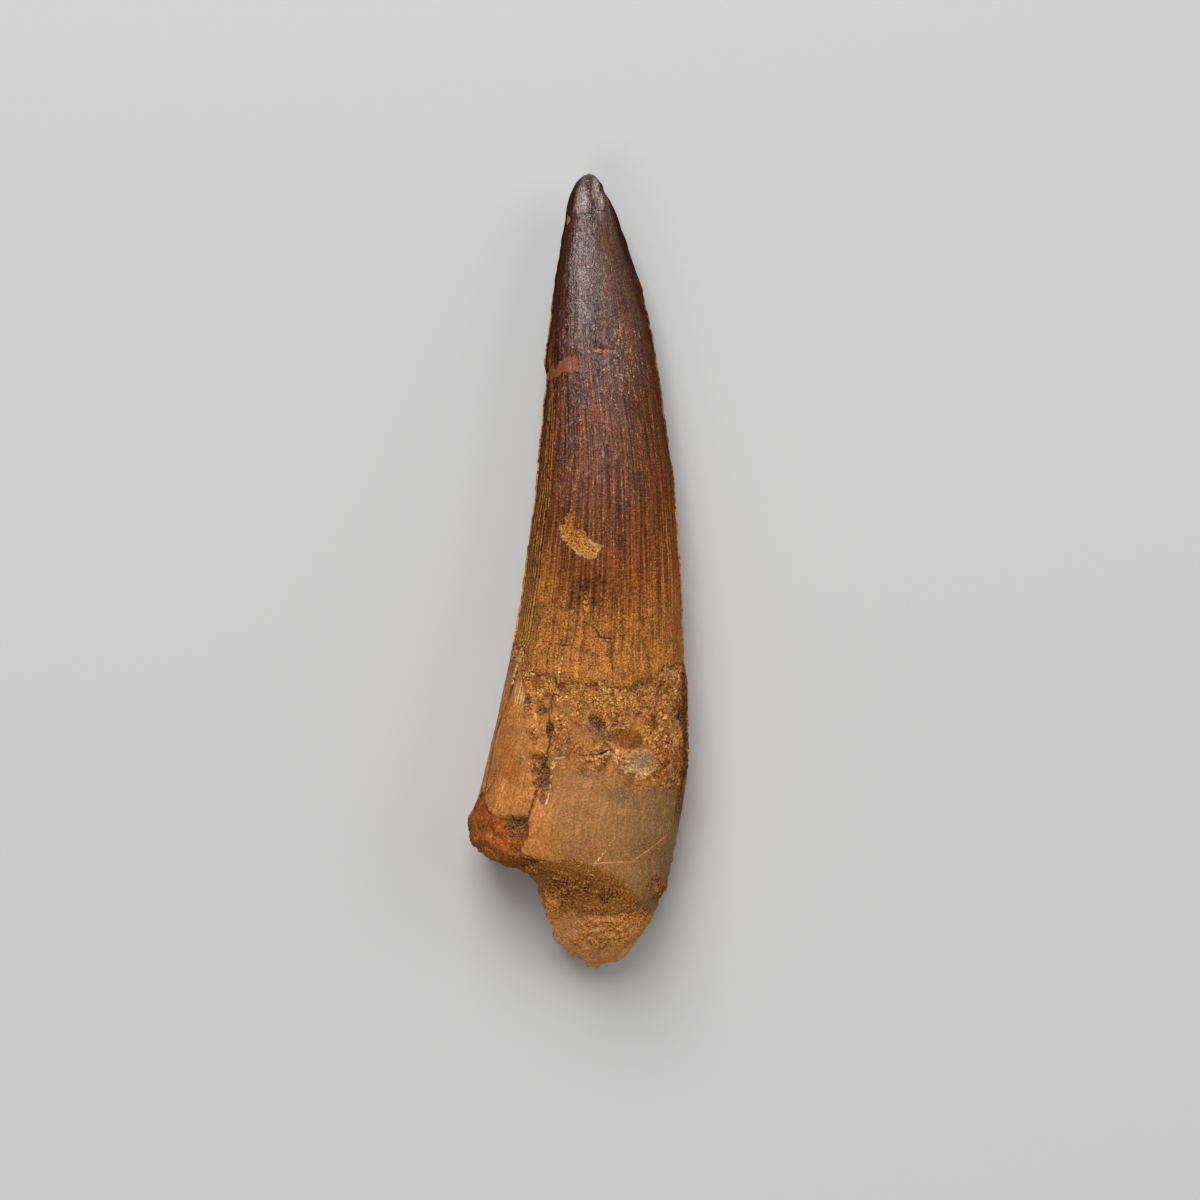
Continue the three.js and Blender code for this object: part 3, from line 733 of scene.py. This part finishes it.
def enamelShades(along):  # dark at the tip, red-brown in the middle, ochre at the root, with painted shade on the left flank and painted sheen and highlight on the upper face
    drift = plus(times(wideStreak, 12), times(fineStreak, 10))
    colour = ramp(plus(along, minus(drift, 11)), finish["enamelAlong"], 82)
    # partly painted shade: the left flank is made redder and darker, for the shade that falls on that side as well as
    # its own red-brown
    colour = tint(colour, "flankRedShade", (sideways, -0.45, -0.75), (fromTip, 44, 30), 0.75)
    colour = dimmed(colour, 0.62, (sideways, -0.6, -0.9), between(fromTip, 34, 76, 8))
    colour = dimmed(colour, 0.84, (sideways, 0.8, 1), (fromTip, 60, 30))
    middle = between(sideways, -0.5, 0.35, 0.3)
    # painted sheen: a greyish pink down the middle and on the right of the upper crown, where the gloss catches the
    # light
    colour = tint(colour, "mauveSheen", middle, between(fromTip, 20, 52, 14), (wideStreak, 0.4, 0.58), 0.5)
    colour = tint(colour, "mauveSheen", between(sideways, 0.3, 0.8, 0.15), between(fromTip, 8, 30, 8), 0.5)
    # painted highlight: pale glints on the wrinkles down the middle of the crown
    colour = tint(colour, "polishAndHighlight", middle, between(fromTip, 14, 46, 10), (leather, 0.53, 0.63), 0.34)
    return tint(colour, "oliveBrown", (sideways, 0.05, 0.5), between(fromTip, 20, 50, 10), (patches, 0.42, 0.62), 0.4)


def fluteColours(colour, along):
    brown = step(along, 71, 66)
    colour = tint(colour, "rust", (wideStreak, 0.5, 0.6), (fineStreak, 0.44, 0.56), (fromTip, 14, 40), brown, 0.5)
    colour = tint(colour, "slate", (mottle, 0.52, 0.64), between(fromTip, 32, 62, 8), brown, 0.22)
    shade = plus(times(brown, 0.24), 0.14)
    colour = tint(colour, "groove", (fineStreak, 0.5, 0.38), (fromTip, 6, 26), shade)
    # partly painted shade: darker in the flutes' grooves, over the enamel's own dark lines
    colour = tint(colour, "groove", (flute, 0.42, 0.12), fluteShare, shade)
    return tint(colour, "tan", (flute, 0.6, 0.9), (fineStreak, 0.5, 0.62), fluteShare, 0.35)


def leftStripColours(colour):  # gold crests by the left carina, and dark grooves between them that are partly painted shade
    onFlank = step(sideways, -0.84, -0.95)
    strip = times((sideways, -0.68, -0.8), (fromTip, 22, 37))
    gilt = times(strip, (flute, 0.55, 0.85), (shortStreak, 0.42, 0.52))
    gilt = times(gilt, mixValue(onFlank, 1, times((wideStreak, 0.46, 0.58), (fineStreak, 0.42, 0.54))))
    colour = tint(colour, "stripGold", gilt, 0.85)
    # partly painted shade: darker in the grooves between the crests
    return tint(colour, "groove", strip, (flute, 0.5, 0.2), mixValue(onFlank, 0.85, 0.4))


def paleEnamelColours(colour, along):
    colour = tint(colour, "gold", (along, 67, 72), (mottle, 0.5, 0.62), 0.2)
    colour = tint(colour, "oliveBrown", (along, 67, 72), (patches, 0.5, 0.62), 0.3)
    colour = tint(colour, "oliveBrown", (along, 67, 72), (zones, 0.5, 0.58), (sandy, 0.42, 0.56), 0.5)
    return tint(colour, "oliveBrown", (hairStreak, 0.45, 0.38), (along, 66, 70), (patches, 0.46, 0.58), 0.35)


def enamelGrain(colour):
    crossing = plus(times(crossStreak, 0.45), times(hairStreak, 0.55))
    lively = between(fromTip, 24, 64, 14)
    colour = shaded(colour, mixValue(lively, spread(crossing, 0.7, 1.3), spread(crossing, 0.5, 1.5)))
    colour = tint(colour, "groove", (craze, 0.05, 0.015), (fromTip, 60, 72), (patches, 0.46, 0.56), 0.5)
    stipple = times((shortStreak, 0.52, 0.62), (hairStreak, 0.48, 0.58), between(fromTip, 32, 76, 6))
    return tint(colour, "tan", stipple, (grainy, 0.48, 0.56), 0.6)


def brownEndColours(colour, along):  # the dark line where the brown enamel stops, and the smudge on it
    ended = times((plus(along, times(speckle, 1.4)), 71.2, 70.6), (along, 58, 66))
    colour = dimmed(colour, spread(speckle, 0.66, 0.86), ended, between(sideways, -0.4, 0.42, 0.15))
    brink = maths("ABSOLUTE", minus(plus(along, times(speckle, 1.6)), 71.8))
    broken = spread(patches, 0, 1)
    colour = tint(colour, "groove", (brink, 0.35, 0.1), between(sideways, -0.45, 0.7, 0.1), broken, 0.65)
    return tint(colour, "smudge", (1.4, 67.2, 4.2, 4.4, 0.9, 2.2), (plus(fineStreak, sandy), 1.24, 0.9), 0.85)


def carinaColours(colour):  # the gold chip near the tip, and the pale worn edges
    gap = known("carinaGap")
    colour = tint(colour, "gold", (-1.9, 7.8, 0.6, 0.75), (pepper, 0.4, 0.5), (gap, 1, 2.4))
    worn = spread(wideStreak, 0.3, 1.1)
    return tint(colour, "goldLine", (gap, 0.55, 0.25), (fromTip, 18, 26), (speckle, 0.4, 0.5), worn, 0.85)


def sprungColours(colour):  # the bare patches where the enamel has sprung off
    spall = varied("spall", (grainy, 0.8, 1.2), (patches, 0.84, 1.16))
    spall = tint(spall, "tan", (known("spallInset"), 0.5, 0.1), (grainy, 0.5, 0.56), 0.6)
    colour = tint(colour, spall, inset("spallInset", 0, 0.25, 1), 0.92)
    grains = [(0.3, "groove"), (0.43, "rust"), (0.54, "gold"), (0.72, "goldLine")]
    paleRim = times(inset("flakeInset", -0.35, -0.2, 0.8), (plus(fromTip, times(placeX, -0.6)), 56.5, 58.5))
    colour = tint(colour, "cream", paleRim, (patches, 0.4, 0.54), 0.75)
    flakeGrain = plus(times(pepper, 0.6), times(sandy, 0.4))
    flakeGrains = dimmed(ramp(flakeGrain, grains, 1), 0.8, (fromTip, 58, 55))
    return tint(colour, flakeGrains, inset("flakeInset", -0.1, 0.1, 1.2), 0.92)


def enamelColour():
    along = known("crownPlace")
    colour = fluteColours(enamelShades(along), along)
    colour = paleEnamelColours(leftStripColours(colour), along)
    colour = tintedWith(enamelGrain(colour), tipStainsAndHighlights)
    colour = tintedWith(brownEndColours(colour, along), goldStains)
    colour = carinaColours(colour)
    colour = varied(colour, (speckle, 0.84, 1.16), (grainy, 0.4, 1.6), (hairStreak, 0.84, 1.16))
    colour = varied(colour, (pepper, 0.8, 1.2))
    colour = tint(colour, "tan", line("goldGap", 0.1), (fromTip, 84, 80), (shortStreak, 0.46, 0.6), 0.8)
    colour = tint(colour, "groove", line("darkGap", 0.12), spread(patches, 0.2, 0.9))
    return sprungColours(colour)


def crustColour(lumped):
    # partly painted shade: the crust is darker where its lumps dip, and varies at random with the sandy noise
    crust = shaded(ramp(zones, finish["crustZones"], 1), plus(0.7, times(lumped, 0.8)))
    plain = blend(spread(mottle, 0.1, 0.9), light(finish["rootDeep"]), "rootBase")
    plain = varied(plain, (sandy, 0.88, 1.12), (dash, 0.86, 1.14), (fineStreak, 0.94, 1.06))
    crust = shaded(crust, mixValue(step(patches, 0.46, 0.34), 1.08, 0.84))
    contrast = spread(mottle, 0.3, 0.64)
    crust = shaded(crust, plus(1.04, times(minus(coarseChip, 0.5), contrast)))
    crust = shaded(crust, plus(1.04, times(minus(fineChip, 0.5), contrast)))
    flecked = mixValue(step(patches, 0.48, 0.6), 0.25, 1)
    crust = tintedWith(crust, [
        ("straw", (coarseChip, 0.76, 0.82), (coarseGap, 0.03, 0.07), flecked, 0.65),
        ("straw", (fineChip, 0.8, 0.86), flecked, 0.7),
        ("straw", (pepper, 0.58, 0.65), (speckle, 0.42, 0.54), flecked, 0.45),
        ("cream", (fineChip, 0.9, 0.94), (coarseChip, 0.3, 0.5), flecked, 0.9),
        ("rootDark", (fineChip, 0.14, 0.08), mixValue(flecked, 0.3, 0.7)),
        ("rootDark", (pepper, 0.43, 0.36), mixValue(flecked, 0.25, 0.45)),
        # painted shade: darker in the gaps between the chips
        ("rootDark", (coarseGap, 0.07, 0.01), (speckle, 0.42, 0.54), 0.75),
        ("rootDark", (fineGap, 0.08, 0.01), (sandy, 0.56, 0.46), 0.5),
    ])
    return blend(step(known("patchy"), 0.2, 0.75), plain, crust)


def plateColours(colour, lowPlate):  # the smooth surface above the break, olive towards the right
    plate = blend(step(plus(fromTip, swing(mottle, 8)), 101, 108), light(finish["plateTan"]), "plateLow")
    plate = tint(plate, "olive", (plus(placeX, swing(mottle, 9)), 2, 13), 0.85)
    rightwards = step(plus(placeX, swing(mottle, 8)), -6.5, -1)
    return tint(colour, plate, lowPlate, rightwards, 0.85)


def lobeColours(colour, lumpy, lumped):
    stops = [(0.14, "crevice"), (0.36, "lobe"), (0.7, "orange"), (1, "gold")]
    lobe = shaded(ramp(lumped, stops, 1), plus(0.85, times(coarseChip, 0.3)))
    lobe = tintedWith(lobe, [
        ("crevice", (lumpy, 0.42, 0.3), 0.6),
        ("rootDark", (known("lobeInset"), 2.4, 0.8), (patches, 0.48, 0.58), 0.7),
        ("straw", (sandy, 0.58, 0.66), (patches, 0.44, 0.54), 0.5),
        ("rootDark", (placeX, -12.8, -15.2), (patches, 0.4, 0.54), 0.7),
    ])
    return tint(colour, lobe, inset("lobeInset", 0.1, 0.5, 0.8), 0.85)


def breakColours(colour, past):  # the brown scoop and the pale tongue
    dished = times((past, -0.1, 0.5), (plus(fromTip, swing(patches, 5)), 119.5, 117))
    dish = varied("scoop", (mottle, 0.85, 1.15), (pepper, 0.6, 1.4))
    dish = tint(dish, "gold", (pepper, 0.6, 0.66), (speckle, 0.4, 0.5), 0.6)
    colour = tint(colour, dish, dished, (placeX, 12, 10), 0.85)
    tongue = varied("tongue", (patches, 0.72, 1.24), (sandy, 0.8, 1.2))
    return tint(colour, tongue, (plus(fromTip, swing(patches, 5)), 116.5, 119), (past, 1, 2), 0.85)


def gritColours(colour, lumpy):
    stops = [(0.14, "rootDark"), (0.36, "rootDeep"), (0.62, "grit"), (1, "straw")]
    chipped = times(plus(fineChip, 0.2), mixValue(step(fromTip, 116, 118.5), 0.1, 0.5))
    grains = plus(times(lumpy, 0.15), times(minus(pepper, 0.34), 1.5), chipped)
    grains = plus(grains, times((placeX, -1, -4), (fromTip, 112, 115), 0.22), times((fromTip, 116, 118.5), 0.05))
    gritty = plus(known("gritty"), swing(speckle, 0.9))
    grit = shaded(ramp(grains, stops, 1), mixValue(step(fromTip, 116, 118.5), 0.72, 1))
    colour = tint(colour, grit, (gritty, 0.2, 0.7), 0.85)
    byEdge = times((known("carinaGap"), 3.4, 1.6), (sideways, 0, 0.1), between(fromTip, 98, 118, 2))
    return tint(colour, "grit", byEdge, (sandy, 0.5, 0.58), 0.7)


def bandColours(colour):  # the dark rough band along the right edge
    bandEdge = plus(plus(placeX, swing(patches, 1.6)), step(fromTip, 93, 102))
    band = times((bandEdge, 16, 16.6), (fromTip, 104, 101))
    band = times(band, (plus(sideways, times(patches, 0.06)), 1.02, 0.99), upperSide)
    colour = tint(colour, "bandDark", band, 0.8)
    return tint(colour, "tan", band, (sandy, 0.54, 0.6), 0.8)


def noduleColours(colour):
    brown, grey = (varied(name, (sandy, 0.8, 1.2)) for name in ("noduleBrown", "noduleGrey"))
    colour = tintedWith(tint(colour, brown, (8.3, 89.5, 2.5, 2, 0.35, 0.7), 0.9), creamStains)
    return tint(colour, grey, (10, 92.8, 2.8, 2, 0.6, 0.4), 0.85)


def crackColours(colour):  # the hollow in the lobe, the long crack, the painted shadow under the enamel's end, and the crumbs there
    colour = tint(colour, "crevice", (-9.2, 103.4, 2, 1.8), 0.45)
    colour = tint(colour, "crevice", line("crackGap", 0.26, 0.8), (patches, 0.34, 0.5), 0.75)
    pastEnamel = known("pastEnamel")
    # painted shadow: darker in a thin band just under the enamel's ledge
    colour = tint(colour, "crevice", (pastEnamel, 0.9, 0.3), (speckle, 0.42, 0.54), 0.75)
    ledge = times(between(pastEnamel, 0.4, 2.6, 0.5), (patches, 0.46, 0.56), (sandy, 0.52, 0.58))
    colour = tint(colour, "straw", ledge, 0.75)
    return tint(colour, "cream", ledge, (pepper, 0.5, 0.6), 0.7)


def rootGrain(colour, calm):
    lively = times(spread(speckle, 0.86, 1.14), spread(pepper, 0.74, 1.26))
    striped = times(spread(dash, 0.9, 1.1), spread(sandy, 0.9, 1.1))
    large = mixValue(calm, lively, striped)
    small = mixValue(calm, spread(grainy, 0.6, 1.4), spread(grainy, 0.66, 1.34))
    colour = shaded(colour, times(large, small))
    colour = varied(colour, (hairStreak, 0.9, 1.1), (mottle, 0.9, 1.1))
    return tint(colour, "straw", calm, (pepper, 0.63, 0.69), 0.35)


def rootColour():
    lumpy = known("lumpy")
    lumped = plus(times(lumpy, 0.35), times(minus(sandy, 0.36), 1.4))
    colour = tintedWith(crustColour(lumped), highRootStains)
    slope = minus(fromTip, times(placeX, 0.25))
    lowPlate = times((plus(slope, swing(patches, 12)), 91, 97), upperSide)
    colour = tintedWith(plateColours(colour, lowPlate), rootStains)
    colour = lobeColours(colour, lumpy, lumped)
    past = known("pastBreak")
    colour = tintedWith(gritColours(breakColours(colour, past), lumpy), gritStains)
    colour = crackColours(noduleColours(bandColours(colour)))
    calm = times(maths("MAXIMUM", lowPlate, step(known("patchy"), 0.5, 0.2)), (past, 1, -0.5))
    colour = rootGrain(colour, calm)
    colour = tint(colour, "crevice", line("darkGap", 0.15), spread(patches, 0.1, 1))
    return tint(colour, "goldLine", line("goldGap", 0.1, 0.4), spread(speckle, 0, 0.9))


def pitColours(colour):  # and the thin pale slivers
    pit = plus(known("pit"), swing(speckle, 2.2))
    stops = [(0.42, "pitDark"), (0.56, "pitOlive"), (0.7, "tan")]
    colour = tint(colour, ramp(pepper, stops, 1), (pit, 0.3, 0.8), (fromTip, 70, 76), 0.85)
    return tint(colour, "cream", line("paleGap", 0.18, 0.9), (shortStreak, 0.4, 0.52), (speckle, 0.4, 0.5), 0.85)


def roughness(isRoot):
    gloss = plus(times(fromTip, 0.003), 0.42, times(maths("ABSOLUTE", plus(sideways, 0.15)), 0.3))
    dull = plus(0.62, times(minus(patches, 0.4), 0.3))
    return mixValue(isRoot, gloss, dull)


def polish():  # how much of the worn polish each place of the crown has
    share = times((plus(sideways, swing(patches, 0.3)), -0.62, -0.4), (sideways, 1, 0.4))
    uneven = mixValue(step(patches, 0.36, 0.6), 0.45, 0.85)
    return times(share, (fromTip, 66, 4), maths("MAXIMUM", uneven, step(fromTip, 9, 5)))


def enamelRelief():
    relief = plus(times(leather, (fromTip, 66, 30), 0.22), times(fineStreak, (fromTip, 14, 34), 0.1))
    relief = plus(relief, times(flute, fluteShare, 0.05))
    relief = minus(relief, times(line("darkGap", 0.14), spread(patches, 0, 0.2)))
    relief = plus(relief, plus(times(speckle, 0.03), times(pepper, 0.04)))
    return plus(relief, times((inset("flakeInset", -0.2, -0.05, 1), 0, 1), pepper, 0.4))


def rootRelief():
    rugged = mixValue(step(fromTip, 94, 98), 0.5, 0.2)
    rugged = mixValue(step(known("patchy"), 0.2, 0.75), times(rugged, 0.5), rugged)
    rugged = mixValue(step(known("pastBreak"), 0.5, 2), rugged, 0.14)
    rugged = plus(rugged, times(known("gritty"), 0.35))
    chipped = plus(times(coarseChip, 0.32), times(fineChip, 0.2))
    chipped = minus(chipped, times((coarseGap, 0.08, 0), 0.16))
    chippedShare = maths("MAXIMUM", step(known("patchy"), 0.25, 0.8), times(known("gritty"), 0.8))
    relief = plus(times(plus(times(speckle, 0.5), sandy), rugged), times(chipped, chippedShare))
    relief = plus(relief, plus(times(dash, 0.05), times(pepper, mixValue(known("patchy"), 0.02, 0.08))))
    return minus(relief, times(line("darkGap", 0.16), spread(patches, 0, 0.25)))


def finishTooth():
    isRoot = step(plus(known("pastEnamel"), swing(speckle, 0.6)), 0, 0.3)
    colour = pitColours(blend(isRoot, enamelColour(), rootColour()))
    rough = roughness(isRoot)
    coat = polish()
    relief = mixValue(isRoot, enamelRelief(), rootRelief())
    bump = node("Bump", {"Height": relief, "Distance": mm, "Strength": 1}).outputs[0]

    inputs = tree.nodes["Principled BSDF"].inputs
    links = {"Base Color": colour, "Roughness": rough, "Normal": bump, "Coat Normal": bump, "Coat Weight": coat}
    for name, value in links.items():
        tree.links.new(value, inputs[name])
    for name, value in surface.items():
        inputs[name].default_value = value
    print("finish made:", len(tree.nodes), "nodes")


# ---- the studio

studio = {
    "imageSize": 1200,  # the square picture, in its own dots
    "dotsPerMm": 6.26,  # at the height of the outline
    "outlineHeight": 7,
    "middleX": 3.48,  # of the picture, from the tooth's own middle
    "middleY": -4.65,
    "lens": 85,
    "sensor": 36,
    "nearClip": 0.01,  # metres
    "floorHalfWidth": 2,  # metres
    "floorBelow": 0.05,
    "floorShade": 0.6,
    "floorRoughness": 0.9,
    "softboxes": [  # name, place and size in metres, and power in watts
        ("keySoftbox", (-0.2, 0.9, 1.13), (0.8, 1.25), 21),
        ("sideSoftbox", (1.15, 0.35, 0.95), (1.2, 1.2), 6),
        ("fillSoftbox", (-0.5, -0.85, 1.1), (0.9, 0.9), 4),
    ],
    "skyStrength": 0.1,
}


def setCamera():
    data = bpy.data.cameras.new("studioCamera")
    data.lens = studio["lens"]
    data.sensor_width = studio["sensor"]
    data.clip_start = studio["nearClip"]
    camera = addToScene("studioCamera", data)
    span = studio["imageSize"] / studio["dotsPerMm"]
    away = studio["outlineHeight"] + span * studio["lens"] / studio["sensor"]
    camera.location = Vector((studio["middleX"], studio["middleY"], away)) * mm
    bpy.context.scene.camera = camera


def addSoftbox(name, place, size, power):
    data = bpy.data.lights.new(name, "AREA")
    data.shape = "RECTANGLE"
    data.size, data.size_y = size
    data.energy = power
    softbox = addToScene(name, data)
    softbox.location = place
    softbox.rotation_euler = (-Vector(place)).to_track_quat("-Z", "Y").to_euler()


def layFloor():
    bm = bmesh.new()
    bmesh.ops.create_grid(bm, x_segments=1, y_segments=1, size=studio["floorHalfWidth"])
    bmesh.ops.translate(bm, verts=bm.verts, vec=(0, 0, -studio["floorBelow"] * mm))
    mesh = bpy.data.meshes.new("studioFloor")
    bm.to_mesh(mesh)
    bm.free()
    paper = bpy.data.materials.new("palePaper")
    paper.use_nodes = True
    shade = studio["floorShade"]
    shader = paper.node_tree.nodes["Principled BSDF"]
    shader.inputs["Base Color"].default_value = (shade, shade, shade, 1)
    shader.inputs["Roughness"].default_value = studio["floorRoughness"]
    mesh.materials.append(paper)
    addToScene("studioFloor", mesh)


def lightStudio():
    for name, place, size, power in studio["softboxes"]:
        addSoftbox(name, place, size, power)
    world = bpy.data.worlds.new("studioAir")
    world.use_nodes = True
    sky = world.node_tree.nodes["Background"].inputs
    sky["Color"].default_value = (1, 1, 1, 1)
    sky["Strength"].default_value = studio["skyStrength"]
    bpy.context.scene.world = world
    bpy.context.scene.view_settings.view_transform = "Standard"


setCamera()
layFloor()
lightStudio()
toothPiece = modelTooth()
finishTooth()
toothPiece.data.materials.append(fossil)
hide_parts("tooth")
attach(toothPiece, "root")
